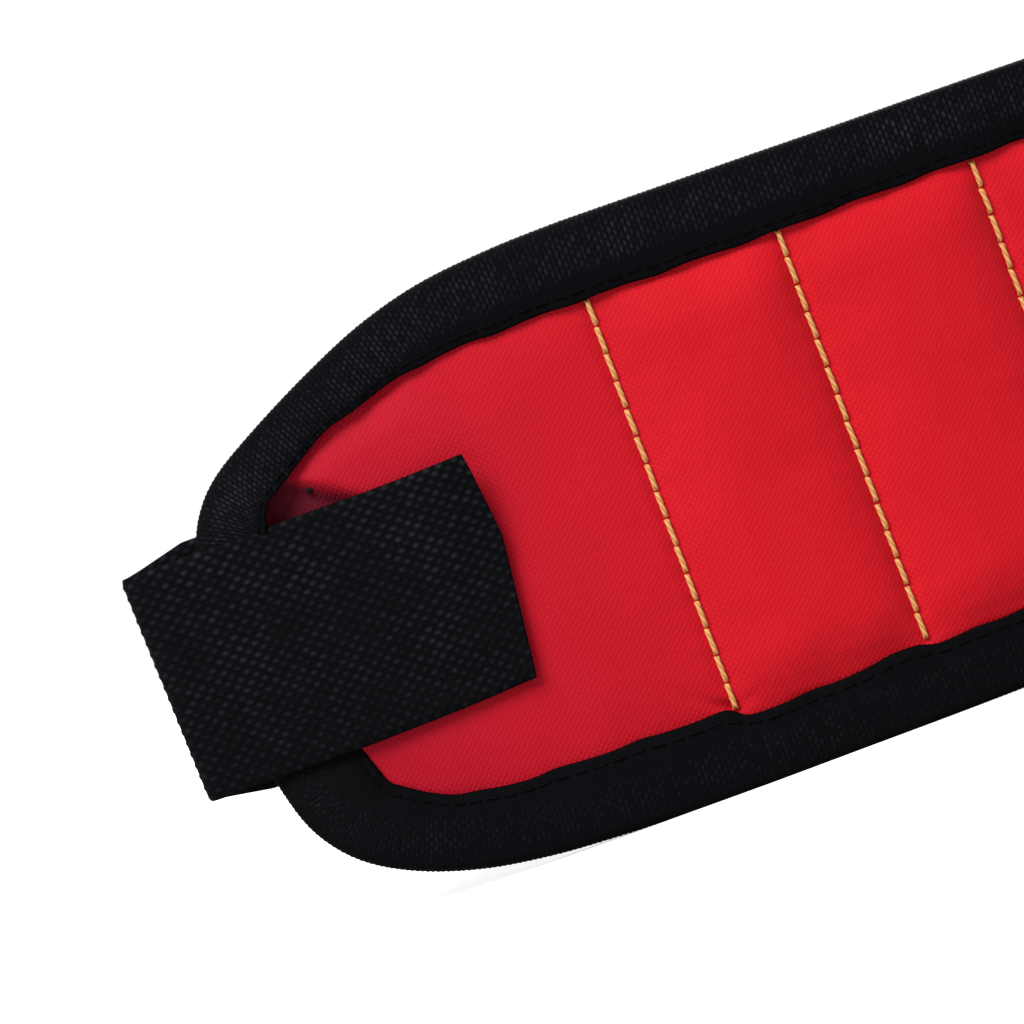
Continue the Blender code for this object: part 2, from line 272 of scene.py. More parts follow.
WIDTH_LINES = [catmull(np.array(w) * MM, 8).T for w in (TOP_WIDTHS, BOTTOM_WIDTHS)]


def tape_widths(s):
    """Width of the tape on the front along the top and the bottom edge at stations s."""
    mirrored = np.minimum(s, BAND_LENGTH - s)
    return [np.interp(mirrored, *line) for line in WIDTH_LINES]


def under_tape(s, z):
    """How far inside the tape's inner edge a point is; negative under the tape."""
    top, bottom = tape_widths(s)
    return np.minimum(edge_z(s, 1) - top - z, z - (edge_z(s, -1) + bottom))


def grid_faces(rows, columns, wrap=False):
    """Faces of a grid of points; wrap joins its last column to its first."""
    index = np.arange(rows * columns).reshape(rows, columns)
    if wrap:
        index = np.concatenate([index, index[:, :1]], 1)
    a, b, c, d = index[:-1, :-1], index[1:, :-1], index[1:, 1:], index[:-1, 1:]
    return np.stack([a, b, c, d], -1).reshape(-1, 4)


def grid_normals(grid):
    """Unit normals at the points of a grid."""
    along, across = np.gradient(grid, axis=0), np.gradient(grid, axis=1)
    normal = np.cross(along, across)
    return normal / np.maximum(np.linalg.norm(normal, axis=-1, keepdims=True), 1e-12)


def add_mesh(name, points, faces, material, flat=None, values=None, normals=None):
    """A smooth mesh. flat is a vertex's (along, across) in metres, kept as a UV map, and
    values are kept as the attribute "weave" that the materials read."""
    mesh = bpy.data.meshes.new(name)
    faces = np.asarray(faces)
    mesh.vertices.add(len(points))
    mesh.vertices.foreach_set("co", np.asarray(points, np.float32).ravel())
    mesh.loops.add(faces.size)
    mesh.loops.foreach_set("vertex_index", faces.ravel().astype(np.int32))
    mesh.polygons.add(len(faces))
    corners = faces.shape[1]
    mesh.polygons.foreach_set("loop_start", np.arange(0, faces.size, corners, dtype=np.int32))
    mesh.update(calc_edges=True)
    mesh.validate()
    mesh.shade_smooth()
    if flat is not None:
        layer = mesh.uv_layers.new(name="flat")
        layer.data.foreach_set("uv", np.asarray(flat, np.float32)[faces.ravel()].ravel())
    if values is not None:
        attribute = mesh.attributes.new("weave", "FLOAT", "POINT")
        attribute.data.foreach_set("value", np.asarray(values, np.float32).ravel())
    if normals is not None:
        mesh.normals_split_custom_set_from_vertices(np.asarray(normals, float).tolist())
    mesh.materials.append(material)
    obj = bpy.data.objects.new(name, mesh)
    bpy.context.scene.collection.objects.link(obj)
    return obj


# ---- Materials ----

class Graph:
    """A material's nodes, built by small calls. Most calls return an output socket."""

    def __init__(self, name, colour, roughness, **sockets):
        self.material = bpy.data.materials.new(name)
        self.material.use_nodes = True
        self.tree = self.material.node_tree
        self.shader = self.tree.nodes["Principled BSDF"]
        self.shader.inputs["Base Color"].default_value = (*colour, 1)
        self.shader.inputs["Roughness"].default_value = roughness
        for socket, value in sockets.items():
            self.shader.inputs[socket.replace("_", " ")].default_value = value

    def node(self, kind, inputs=(), **settings):
        made = self.tree.nodes.new("ShaderNode" + kind)
        for key, value in settings.items():
            setattr(made, key, value)
        for key, value in dict(inputs).items():
            self.feed(made.inputs[key], value)
        return made

    def feed(self, socket, value):
        if isinstance(value, bpy.types.NodeSocket):
            self.tree.links.new(value, socket)
        else:
            socket.default_value = value

    def math(self, operation, *values):
        made = self.tree.nodes.new("ShaderNodeMath")
        made.operation = operation
        for socket, value in zip(made.inputs, values):
            self.feed(socket, value)
        return made.outputs[0]

    def flat(self):
        """The two flat coordinates in millimetres, as a vector."""
        uv = self.node("UVMap", uv_map="flat").outputs[0]
        scaled = self.node("VectorMath", {0: uv, 1: (1000, 1000, 1000)}, operation="MULTIPLY")
        return scaled.outputs[0]

    def place(self):
        """The piece's own coordinates in metres, for materials with no flat coordinates."""
        return self.node("TexCoord").outputs["Object"]

    def weave(self):
        """The mesh's "weave" values."""
        return self.node("Attribute", attribute_name="weave").outputs["Fac"]

    def noise(self, vector, scale, detail=2.0):
        return self.node("TexNoise", {"Vector": vector, "Scale": scale,
                                      "Detail": detail}).outputs[0]

    def wave(self, value, pitch, phase=0.0):
        """A sine of a length in millimetres."""
        turns = self.math("MULTIPLY_ADD", value, 2 * math.pi / pitch, phase)
        return self.math("SINE", turns)

    def mix(self, share, low, high, blend_type="MIX"):
        """One colour into another by share; each is a socket or red, green and blue."""
        made = self.node("Mix", data_type="RGBA", blend_type=blend_type)
        self.feed(made.inputs[0], share)
        for socket, colour in zip(made.inputs[6:8], (low, high)):
            linked = isinstance(colour, bpy.types.NodeSocket)
            self.feed(socket, colour if linked else (*colour, 1))
        return made.outputs[2]

    def between(self, value, low, high, to_low=0.0, to_high=1.0):
        """value mapped from low-high to to_low-to_high, and held at both ends."""
        made = self.node("MapRange", {0: value, 1: low, 2: high, 3: to_low, 4: to_high})
        return made.outputs[0]

    def bump(self, height, distance, strength=1.0):
        """Bumps of the given height in metres."""
        made = self.node("Bump", {"Height": height, "Distance": distance, "Strength": strength})
        self.feed(self.shader.inputs["Normal"], made.outputs[0])

    def colour(self, value):
        self.feed(self.shader.inputs["Base Color"], value)

    def roughness(self, value):
        self.feed(self.shader.inputs["Roughness"], value)


def plain_weave(graph, flat, pitch):
    """Height of a slightly uneven plain weave, 0 to 1."""
    shift = graph.node("TexNoise", {"Vector": flat, "Scale": 0.35, "Detail": 2.0})
    moved = graph.node("VectorMath", {0: shift.outputs[1], 1: (0.48, 0.48, 0.48), 2: flat},
                       operation="MULTIPLY_ADD")
    parts = graph.node("SeparateXYZ", {0: moved.outputs[0]})
    waves = [graph.wave(part, 2 * pitch) for part in parts.outputs[:2]]
    return graph.math("MULTIPLY_ADD", graph.math("MULTIPLY", *waves), 0.5, 0.5)


def make_red_cover():
    """Plain-woven nylon; the weave value is the painted shade in the tuck above the strap."""
    g = Graph("red_oxford", (0.62, 0.011, 0.022), 0.62, Sheen_Weight=0.02, Sheen_Roughness=0.45,
              Specular_IOR_Level=0.1)
    g.shader.inputs["Sheen Tint"].default_value = (1, 0.45, 0.5, 1)
    flat = g.flat()
    weave = plain_weave(g, flat, 0.5)
    broad = g.noise(flat, 0.03, 3.0)
    fine = g.noise(flat, 1.6, 2.0)
    tone = g.mix(g.between(broad, 0.3, 0.7), (0.6, 0.0068, 0.0155), (0.67, 0.0086, 0.0185))
    thread = g.mix(g.between(fine, 0.25, 0.75), (0.52, 0.006, 0.0135), (0.75, 0.0112, 0.0225))
    full = g.mix(g.between(weave, 0.15, 0.8, 0.0, 0.5), tone, thread)
    # painted shade: the cover is made a little darker and pinker on the tips
    along = g.node("SeparateXYZ", {0: flat}).outputs[0]
    end = g.math("MINIMUM", along, g.math("SUBTRACT", BAND_LENGTH / MM, along))
    painted_tip_shade = g.mix(g.between(end, 26.0, 84.0), (0.73, 0.74, 1.2), (1, 1, 1))
    dull = g.mix(1.0, full, painted_tip_shade, "MULTIPLY")
    # painted shade: the weave value darkens the cover to a deep red in the tuck above the strap
    g.colour(g.mix(g.between(g.weave(), 0.05, 0.8), dull, (0.13, 0.0065, 0.017)))
    g.roughness(g.between(fine, 0.2, 0.8, 0.55, 0.72))
    g.bump(g.math("ADD", weave, g.math("MULTIPLY", fine, 0.35)), 0.00007, 0.9)
    return g.material


def make_yarn(name, gap, dull, bright, pitch, axis):
    """Black yarn: the weave value is how far a point is out of the gaps between the yarns; the
    gaps are painted dark as shade and the raised yarn gets a painted highlight.

    Its fine strands lie pitch millimetres apart, side by side along the given flat axis."""
    g = Graph(name, dull, 0.65, Specular_IOR_Level=0.03)
    flat = g.flat()
    parts = g.node("SeparateXYZ", {0: flat})
    fine = g.noise(flat, 2.0, 3.0)
    broad = g.noise(flat, 0.06, 2.0)
    # painted highlight: the raised yarn is brighter and bluer than the gaps, which are painted
    # shade
    painted_float_highlight = g.mix(g.between(broad, 0.35, 0.65), dull, bright)
    g.colour(g.mix(g.between(g.weave(), 0.06, 0.75), gap, painted_float_highlight))
    g.roughness(g.between(fine, 0.2, 0.8, 0.5, 0.75))
    strands = g.wave(parts.outputs[axis], pitch)
    g.bump(g.math("ADD", g.math("MULTIPLY", strands, 0.4), fine), 0.00005, 0.8)
    return g.material


def make_lining():
    """A knitted air mesh with rows of small holes."""
    g = Graph("lining_air_mesh", (0.02, 0.02, 0.022), 0.8, Sheen_Weight=0.08,
              Sheen_Roughness=0.5, Specular_IOR_Level=0.25)
    flat = g.flat()
    along, across = g.node("SeparateXYZ", {0: flat}).outputs[:2]
    cells = g.math("MULTIPLY", g.wave(along, 2.2), g.wave(across, 3.2))
    knit = g.math("MULTIPLY", g.wave(along, 0.5), g.wave(across, 0.7))
    fine = g.noise(flat, 1.8, 3.0)
    rim = g.between(g.math("ABSOLUTE", cells), 0.35, 0.8, 1.0, 0.0)
    yarn = g.mix(fine, (0.016, 0.016, 0.018), (0.034, 0.034, 0.037))
    g.colour(g.mix(rim, (0.004, 0.004, 0.005), yarn))
    g.roughness(g.between(fine, 0.2, 0.8, 0.7, 0.9))
    height = g.math("ADD", g.math("MULTIPLY", rim, 2.2), g.math("MULTIPLY", knit, 0.35))
    g.bump(height, 0.0002, 1.0)
    return g.material


def make_thread(name, low, high, roughness, sheen=0.1, specular=0.3):
    """Plied thread; the weave value is how far a point is out of the groove between plies, and
    the grooves are painted darker as shade.
    """
    g = Graph(name, high, roughness, Sheen_Weight=sheen, Sheen_Roughness=0.4,
              Specular_IOR_Level=specular)
    fine = g.noise(g.place(), 2500.0, 2.0)
    share = g.math("MULTIPLY", g.between(g.weave(), 0.2, 0.9),
                   g.between(fine, 0.2, 0.7, 0.6, 1.0))
    # painted shade: the thread is darker in the grooves between the plies
    g.colour(g.mix(share, low, high))
    g.bump(fine, 0.00004, 0.7)
    return g.material


def make_nickel():
    g = Graph("nickel_plate", (0.74, 0.73, 0.7), 0.22, Metallic=1.0)
    coords = g.place()
    haze = g.noise(coords, 160.0, 4.0)
    g.colour(g.mix(haze, (0.66, 0.65, 0.62), (0.8, 0.79, 0.76)))
    g.roughness(g.between(haze, 0.3, 0.7, 0.16, 0.34))
    g.bump(g.noise(coords, 900.0, 2.0), 0.00002, 0.4)
    return g.material


def make_nylon(name, low, high, roughness, scale):
    g = Graph(name, high, roughness, Specular_IOR_Level=0.35)
    grain = g.noise(g.place(), scale, 3.0)
    g.colour(g.mix(g.between(grain, 0.3, 0.7), low, high))
    g.roughness(g.between(grain, 0.2, 0.8, roughness - 0.08, roughness + 0.1))
    g.bump(grain, 0.00006, 0.6)
    return g.material


def make_floor():
    """A pale floor, as good as white to the camera and greyer in the light it gives back."""
    g = Graph("pale_floor", (0.92, 0.92, 0.92), 0.9, Specular_IOR_Level=0.0)
    pale = g.mix(g.noise(g.place(), 6.0, 2.0), (0.94, 0.94, 0.94), (0.96, 0.96, 0.96))
    seen = g.node("LightPath").outputs["Is Camera Ray"]
    g.colour(g.mix(seen, (0.5, 0.5, 0.5), pale))
    g.shader.inputs["Emission Color"].default_value = (1, 1, 1, 1)
    g.feed(g.shader.inputs["Emission Strength"], g.math("MULTIPLY", seen, 0.45))
    return g.material


RED = make_red_cover()
# gap, dull and bright colours of the tape and webbing: painted shade in the gaps, painted
# highlights on the raised yarn
TAPE = make_yarn("black_binding_tape", (0.0035, 0.0037, 0.005), (0.016, 0.0175, 0.021),
                 (0.033, 0.035, 0.04), 0.205, 0)
WEBBING = make_yarn("black_webbing_yarn", (0.0026, 0.0029, 0.0039), (0.01, 0.011, 0.0138),
                    (0.0215, 0.0228, 0.027), 0.2, 1)
LINING = make_lining()
GOLD = make_thread("gold_thread_ply", (0.6, 0.26, 0.075), (0.93, 0.5, 0.18), 0.55)
BLACK_THREAD = make_thread("black_thread_ply", (0.002, 0.002, 0.0026), (0.011, 0.011, 0.0125),
                           0.65, 0.02, 0.12)
# painted shade: a darker, duller copy of the black thread, for the stitches in the shade near the
# tape's inner edge
SHADED_EDGE_THREAD = make_thread("edge_thread_ply", (0.0015, 0.0016, 0.002), (0.0045, 0.0048, 0.006),
                          0.7, 0.0, 0.04)
NICKEL = make_nickel()
HOOKS = make_nylon("hook_nylon", (0.008, 0.008, 0.009), (0.022, 0.022, 0.024), 0.45, 900.0)
LOOPS = make_nylon("loop_pile", (0.008, 0.008, 0.009), (0.03, 0.03, 0.033), 0.8, 1400.0)


# ---- Cover and lining ----

def panel_columns():
    """Stations of the panel grid's columns, with one on every hinge and every cut."""
    stops = sorted([*STATIONS, *CUTS])
    columns = []
    for a, b in zip(stops, stops[1:]):
        count = max(2, round((b - a) / GRID_STEP))
        columns += [a + (b - a) * i / count for i in range(count)]
    columns.append(stops[-1])
    reach = TIP_LENGTH - PANEL_START
    tip = [PANEL_START + reach * (i / TIP_COLUMNS) ** 1.15 for i in range(TIP_COLUMNS)]
    return np.array([*tip, *columns, *[BAND_LENGTH - s for s in reversed(tip)]])


COLUMNS = panel_columns()
SEAMS = STATIONS[1:-1]


def panel_grid():
    """(s, z) of the panel grid, from the bottom edge to the top edge."""
    low = edge_z(COLUMNS, -1) + PANEL_INSET
    high = edge_z(COLUMNS, 1) - PANEL_INSET
    share = np.linspace(0, 1, GRID_ROWS + 1)
    z = low[:, None] + (high - low)[:, None] * share
    return np.repeat(COLUMNS[:, None], len(share), 1), z


def rise(distance, ramp=RAMP):
    """A swelling's share of its full height at a distance from its edge."""
    t = np.clip(distance / ramp, 0, 1)
    return 1 - (1 - t) ** 2


def pillow(s, z, pocket, inner, end):
    """How far the padding lifts a layer: over the pockets, the short segments and the tips."""
    lift = np.zeros_like(s)
    inside = rise(under_tape(s, z) - 0.3 * MM)
    for a, b in zip([0, *SEAMS], [*SEAMS, BAND_LENGTH]):
        if a == 0 or b == BAND_LENGTH:
            seam = rise(b - s if a == 0 else s - a)
            tip = rise(s - TIP_LENGTH if a == 0 else BAND_LENGTH - TIP_LENGTH - s, LONG_RAMP)
            height = np.maximum(inner * seam * tip, end * seam)
        else:
            height = pocket * np.minimum(rise(s - a, LONG_RAMP), rise(b - s, SHORT_RAMP))
        lift = np.where((s >= a) & (s <= b), height, lift)
    return lift * inside


def relax(name, grid, pinned, sign, growth):
    """The panel after a cloth simulation of its padding's push."""
    points = grid.reshape(-1, 3)
    faces = grid_faces(*grid.shape[:2])
    obj = add_mesh(name, points, faces[:, ::-1] if sign > 0 else faces, RED)
    group = obj.vertex_groups.new(name="sewn")
    group.add(np.nonzero(pinned.ravel())[0].tolist(), 1.0, "REPLACE")
    cloth = obj.modifiers.new("padding", "CLOTH")
    for setting, value in dict(quality=6, mass=0.2, tension_stiffness=12,
                               compression_stiffness=12, shear_stiffness=6,
                               bending_stiffness=0.4, use_pressure=True,
                               uniform_pressure_force=3, shrink_min=-growth,
                               vertex_group_mass="sewn").items():
        setattr(cloth.settings, setting, value)
    cloth.settings.effector_weights.gravity = 0
    cloth.collision_settings.use_collision = False
    cloth.point_cache.frame_start, cloth.point_cache.frame_end = 1, SIMULATED_FRAMES
    scene = bpy.context.scene
    for number in range(1, SIMULATED_FRAMES + 1):
        scene.frame_set(number)
    shape = obj.evaluated_get(bpy.context.evaluated_depsgraph_get())
    moved = np.array([v.co for v in shape.data.vertices], float)
    bpy.data.objects.remove(obj)
    scene.frame_set(1)
    shift = (moved - points).reshape(grid.shape)
    for _ in range(3):
        near = np.pad(shift, ((1, 1), (1, 1), (0, 0)), mode="edge")
        shift = (near[:-2, 1:-1] + near[2:, 1:-1] + near[1:-1, :-2] + near[1:-1, 2:]
                 + 4 * near[1:-1, 1:-1]) / 8
    shift = shift * ~pinned[..., None]
    length = np.linalg.norm(shift, axis=-1, keepdims=True)
    held = LARGEST_SHIFT * np.tanh(length / LARGEST_SHIFT)
    return grid + shift * (held / np.maximum(length, 1e-9))


def crease(s, z, start, end, width, depth):
    """A soft fold along a line: depth at its start, fading to its end."""
    (s0, z0), (s1, z1) = start, end
    length = math.hypot(s1 - s0, z1 - z0)
    us, uz = (s1 - s0) / length, (z1 - z0) / length
    along = (s - s0) * us + (z - z0) * uz
    across = (z - z0) * us - (s - s0) * uz
    fade = np.clip(1 - along / length, 0, 1) * np.clip(1 + along / (2 * width), 0, 1)
    return depth * fade * np.exp(-(across / width) ** 2)


def stitch_heights():
    """Heights of the needle holes of a seam, from its top to its bottom."""
    count = round((SEAM_TOP - SEAM_BOTTOM) / STITCH)
    return np.linspace(SEAM_TOP, SEAM_BOTTOM, count + 1)


def beside_seam(away, z, phase, drift):
    """Depth in millimetres of a seam's groove, needle holes, puckers and slow waves."""
    holes = stitch_heights()
    hole = np.cos(2 * math.pi * (z - holes[0]) / (holes[0] - holes[1]))
    groove = 0.28 * np.exp(-(away / (1.1 * MM)) ** 2)
    needle = 0.3 * np.maximum(hole, 0) ** 6 * np.exp(-(away / (0.7 * MM)) ** 2)
    far = np.abs(away)
    slow = sum(size * np.sin(2 * math.pi * z / ((11 + 7 * i) * MM) + 1.7 * i + phase)
               for i, size in enumerate(drift)) / len(drift)
    pucker = 0.05 * hole * np.exp(-far / (2.6 * MM)) * (1 + 0.5 * slow)
    wave = 0.05 * slow * np.exp(-far / (7 * MM)) * np.tanh(far / (2 * MM))
    return groove + needle + pucker + wave


def sewn_dips(s, z, rng):
    """Depth of everything that the stitching presses into a panel."""
    depth = np.zeros_like(s)
    margin = 2 * MM
    inside = np.clip((z - SEAM_BOTTOM + margin) / margin, 0, 1)
    inside *= np.clip((SEAM_TOP + margin - z) / margin, 0, 1)
    for seam in SEAMS:
        near = np.abs(s - seam) < 14 * MM
        depth += near * inside * beside_seam(s - seam, z, seam * 90, rng.normal(0, 1, 6)[:3])
        for end, way in ((SEAM_TOP, -1), (SEAM_BOTTOM, 1)):
            for _ in range(3):
                side = rng.choice((-1, 1))
                reach = rng.uniform(5, 12) * MM
                slope = rng.uniform(0.2, 1.0)
                start = (seam + side * 0.8 * MM, end + way * rng.uniform(-1, 3) * MM)
                stop = (start[0] + side * reach, start[1] + way * reach * slope)
                depth += crease(s, z, start, stop, rng.uniform(0.8, 1.5) * MM,
                                rng.uniform(0.03, 0.08))
    start = (SEAMS[0] - 0.6 * MM, SEAM_BOTTOM + 0.8 * MM)
    for reach, climb, strength in SEAM_CREASES:
        stop = (start[0] - reach * MM, start[1] + climb * MM)
        depth += crease(s, z, start, stop, 0.8 * MM, strength)
    return depth * MM


def tip_tuck(s, z):
    """How deep a point lies in the tuck above the strap, 0 to 1."""
    (s0, z0), (s1, z1) = TUCK_FOLD
    length = math.hypot(s1 - s0, z1 - z0)
    below = ((s1 - s0) * (z - z0) - (z1 - z0) * (s - s0)) / length
    tuck = np.clip(below / (4.2 * MM), 0, 1) * np.clip((z - 42 * MM) / (10 * MM), 0, 1)
    return smoothstep(tuck * np.clip((37 * MM - s) / (9 * MM), 0, 1))


def tip_hollows(s, z):
    """Depth of the tuck above the strap and of the groove beside the tape on the strap's tip."""
    groove = np.clip((50 * MM - s) / (14 * MM), 0, 1) * np.clip((z - 55 * MM) / (12 * MM), 0, 1)
    groove *= np.clip(1 - under_tape(s, z) / (7 * MM), 0, 1)
    return np.maximum(TUCK * tip_tuck(s, z), 0.9 * MM * smoothstep(groove))


def smooth_panel(name, face_y, lifts, sign, growth, seed):
    """A sewn panel as a fine grid of flat points. sign is -1 for the front, 1 for the back."""
    s, z = panel_grid()
    points = np.stack([s, face_y + sign * pillow(s, z, *lifts), z], -1)
    pinned = under_tape(s, z) < 0.5 * MM
    for seam in SEAMS:
        pinned |= np.abs(s - seam) < 1e-6
    pinned |= (s < PINNED_ENDS) | (s > BAND_LENGTH - PINNED_ENDS)
    points = relax(name, points, pinned, sign, growth)
    fine = catmull(points, UPSAMPLE)
    fine = np.swapaxes(catmull(np.swapaxes(fine, 0, 1), UPSAMPLE), 0, 1)
    dips = sewn_dips(fine[..., 0], fine[..., 2], np.random.default_rng(seed))
    if sign < 0:
        dips = dips + tip_hollows(fine[..., 0], fine[..., 2])
    fine[..., 1] -= sign * dips
    return fine


def cut_columns(s):
    """(first, last) column of each piece of a layer whose columns lie at stations s."""
    ends = [0] + [int(np.argmin(np.abs(s - cut))) for cut in CUTS] + [len(s) - 1]
    return list(zip(ends, ends[1:]))


def add_panel(word, fine, material, front):
    """The layer's pieces, one over each hinge, and the CAD solids that they stand for."""
    rest = to_rest(fine).reshape(fine.shape)
    normals = grid_normals(rest) * (1 if front else -1)
    for k, (a, b) in enumerate(cut_columns(fine[:, fine.shape[1] // 2, 0])):
        part, flat = rest[a:b + 1], fine[a:b + 1][..., (0, 2)]
        faces = grid_faces(*part.shape[:2])
        # painted shade in the tuck above the strap, kept as the front's weave value
        painted_shade = tip_tuck(flat[..., 0], flat[..., 1]) if front else np.zeros(flat.shape[:2])
        obj = add_mesh(f"{word}_{k}", part.reshape(-1, 3), faces if front else faces[:, ::-1],
                       material, flat.reshape(-1, 2), painted_shade, normals[a:b + 1].reshape(-1, 3))
        over_hinge(obj)
        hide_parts(*[f"{segment}_{word}" for segment in own_segments(k)])


# ---- Stitches ----

def stitch_tube(start, end, lift, dive, radius, turn, sides=9, steps=14, plies=3):
    """A stitch that rises out of one needle hole and goes down the next.

    lift is the direction out of the fabric, and dive is how deep the ends go in. Returns the
    points and how far each is out of the grooves between the plies."""
    start, end, lift = (np.asarray(v, float) for v in (start, end, lift))
    t = np.linspace(0, 1, steps + 1)
    along = end - start
    length = np.linalg.norm(along)
    along /= length
    side = np.cross(along, lift)
    height = radius * 0.7 - (radius * 0.7 + dive) * np.abs(2 * t - 1) ** 9
    line = start + np.outer(t * length, along) + np.outer(height, lift)
    angle = np.linspace(0, 2 * math.pi, sides, endpoint=False)
    twist = turn + 2 * math.pi * t * length / (radius * 12)
    ply = 0.5 + 0.5 * np.cos(plies * (angle[None, :] - twist[:, None]))
    wide = radius * (0.94 + 0.1 * ply)
    ring = (np.cos(angle)[None, :, None] * side + 0.85 * np.sin(angle)[None, :, None] * lift)
    return line[:, None, :] + wide[..., None] * ring, ply


def joined(rings):
    """Points and faces of many grids of tube points as one mesh."""
    counts = np.cumsum([0, *(ring.shape[0] * ring.shape[1] for ring in rings)])
    faces = [grid_faces(*ring.shape[:2], wrap=True) + n for ring, n in zip(rings, counts)]
    return np.concatenate([ring.reshape(-1, 3) for ring in rings]), np.concatenate(faces)


def sewn(stitches, radius, dive=0.9 * MM):
    """Many stitches, each (start, end, lift), as points, faces and weave values."""
    tubes, plies = zip(*[stitch_tube(start, end, lift, dive, radius, number * 1.3)
                         for number, (start, end, lift) in enumerate(stitches)])
    return *joined(tubes), np.concatenate([ply.ravel() for ply in plies])


def surface_y(fine, s, z):
    """y of a fine panel at a flat point."""
    column = int(np.argmin(np.abs(fine[:, fine.shape[1] // 2, 0] - s)))
    row = fine[column]
    return float(np.interp(z, row[:, 2], row[:, 1]))


def add_seams(word, fine, sign):
    """The gold lockstitch of every seam on one face of the band."""
    rng = np.random.default_rng(RANDOM_SEED + (1 if sign > 0 else 0))
    made = []
    heights = stitch_heights()
    for k, seam in enumerate(SEAMS, 1):
        stitches = []
        for upper, lower in zip(heights, heights[1:]):
            lean = 0.09 * MM + rng.normal(0, 0.03) * MM
            middle = (upper + lower) / 2
            top = surface_y(fine, seam, middle) + sign * 0.12 * MM
            slip = rng.normal(0, 0.06, 2) * MM
            stitches.append(((seam - lean, top, upper + slip[0] - 0.03 * MM),
                             (seam + lean, top, lower + slip[1] + 0.03 * MM), (0, sign, 0)))
        points, faces, values = sewn(stitches, THREAD_RADIUS)
        obj = add_mesh(f"{word}_{k}", to_rest(points), faces, GOLD, values=values)
        over_hinge(obj)
        made.append(obj)
    return made


# ---- Binding ----

def outline():
    """The closed outline (s, height over the centre) in even steps, and each piece's runs.

    It starts above the first cut and goes round the strap end, along the bottom, round the far
    end and back along the top. A run is a piece's (first, last) row."""
    def between(side, a, b):
        line = EDGES[side]
        stops = line[(line[:, 0] > a) & (line[:, 0] < b)]
        ends = [[x, np.interp(x, line[:, 0], line[:, 1])] for x in (a, b)]
        return np.concatenate([[ends[0]], stops, [ends[1]]])

    first, last = CUTS[0], CUTS[-1]
    middle = list(enumerate(zip(CUTS, CUTS[1:]), 1))
    arcs = [(0, np.concatenate([between(1, 0, first)[::-1], between(-1, 0, first)[1:]]))]
    arcs += [(k, between(-1, a, b)) for k, (a, b) in middle]
    arcs += [(len(CUTS), np.concatenate([between(-1, last, BAND_LENGTH),
                                         between(1, last, BAND_LENGTH)[::-1][1:]]))]
    arcs += [(k, between(1, a, b)[::-1]) for k, (a, b) in reversed(middle)]
    line, runs, count = [], {}, 0
    for k, arc in arcs:
        arc = even(arc, BINDING_STEP)[:-1]
        line.append(arc)
        runs.setdefault(k, []).append((count, count + len(arc)))
        count += len(arc)
    return np.concatenate(line), runs


def loop_smooth(values, passes):
    """A closed line of values, smoothed."""
    for _ in range(passes):
        values = (np.roll(values, 1, 0) + 2 * values + np.roll(values, -1, 0)) / 4
    return values


def upper_share(height):
    """0 at the bottom edge and 1 at the top edge, changing round the band's ends."""
    return np.clip(0.5 + height / SLANT, 0, 1)


def binding_width(s, height):
    """Width of the tape on the front at a point of the outline."""
    top, bottom = tape_widths(s)
    share = smoothstep(upper_share(height))
    ripple = 0.16 * np.sin(2 * math.pi * s / (13.7 * MM)) + 0.05 * np.sin(s / (1.13 * MM) + 1)
    return top * share + bottom * (1 - share) + ripple * MM


def tape_profile(width, bulge):
    """Outer side of the folded tape as (depth, y), from its front edge to its back edge.

    Depth is measured inwards from the outline, and the fold bulges over the outline."""
    front = np.linspace(1, FOLD_START, FRONT_COLUMNS)
    crown = 0.38 * np.sin(math.pi * np.clip((1 - front) * 1.05, 0, 1)) ** 0.8
    front_y = TAPE_Y - crown * MM - 0.25 * MM * (1 - front)
    turn = np.linspace(0, math.pi, 9)[1:-1]
    middle, half = (front_y[-1] + TAPE_BACK_Y) / 2, (TAPE_BACK_Y - front_y[-1]) / 2
    reach = width * FOLD_START
    back = np.linspace(FOLD_START, 1, BACK_COLUMNS)
    back_y = TAPE_BACK_Y + 0.35 * MM * np.sin(math.pi * back) + 0.1 * MM * back
    depth = np.r_[width * front, reach - (reach + bulge) * np.sin(turn), BACK_WIDTH * back]
    return depth, np.r_[front_y, middle - half * np.cos(turn), back_y]


def inward_normals(line):
    """Unit vectors towards the band's middle, smoothed along the outline."""
    along = loop_smooth(np.roll(line, -1, 0) - np.roll(line, 1, 0), 200)
    along /= np.linalg.norm(along, axis=1, keepdims=True)
    return np.stack([-along[:, 1], along[:, 0]], 1)


def tape_ribs(lengths, total, across, depth, height):
    """Height of the tape's ribs, 0 to 1, and the painted highlight of each dash of yarn.

    lengths run round the outline, across runs over the tape, depth is from the outline, and
    height is over the band's centre line."""
    turns = lengths[:, None] * round(total / RIB_PITCH) / total
    rows = across[None, :] / DASH_PITCH
    number = np.floor(turns + 0.5).astype(int)
    rib = 0.5 + 0.5 * np.cos(2 * math.pi * turns + 0.15 * np.sin(across[None, :] / (2.2 * MM)))
    rows = rows + 0.5 * (number % 2)
    dash = 0.5 + 0.5 * np.cos(2 * math.pi * rows)
    catch = chance(number, np.floor(rows + 0.5).astype(int))
    # painted shade: the dashes fade towards both edges of the tape, most along the inner edge
    # where the tape turns down to the cover
    painted_edge_shade = np.interp(depth / MM, [0, 1.2, 3.2, 7.5, 9.3], [0.3, 0.55, 1.0, 0.85, 0.1])
    painted_dash_highlight = rib ** 1.3 * (0.12 + 0.88 * dash) * (0.25 + 0.75 * catch) * painted_edge_shade
    # painted light: the dashes are brighter along the top edge than along the bottom edge
    return rib * (0.65 + 0.35 * dash), painted_dash_highlight * (0.4 + 0.6 * upper_share(height)[:, None])


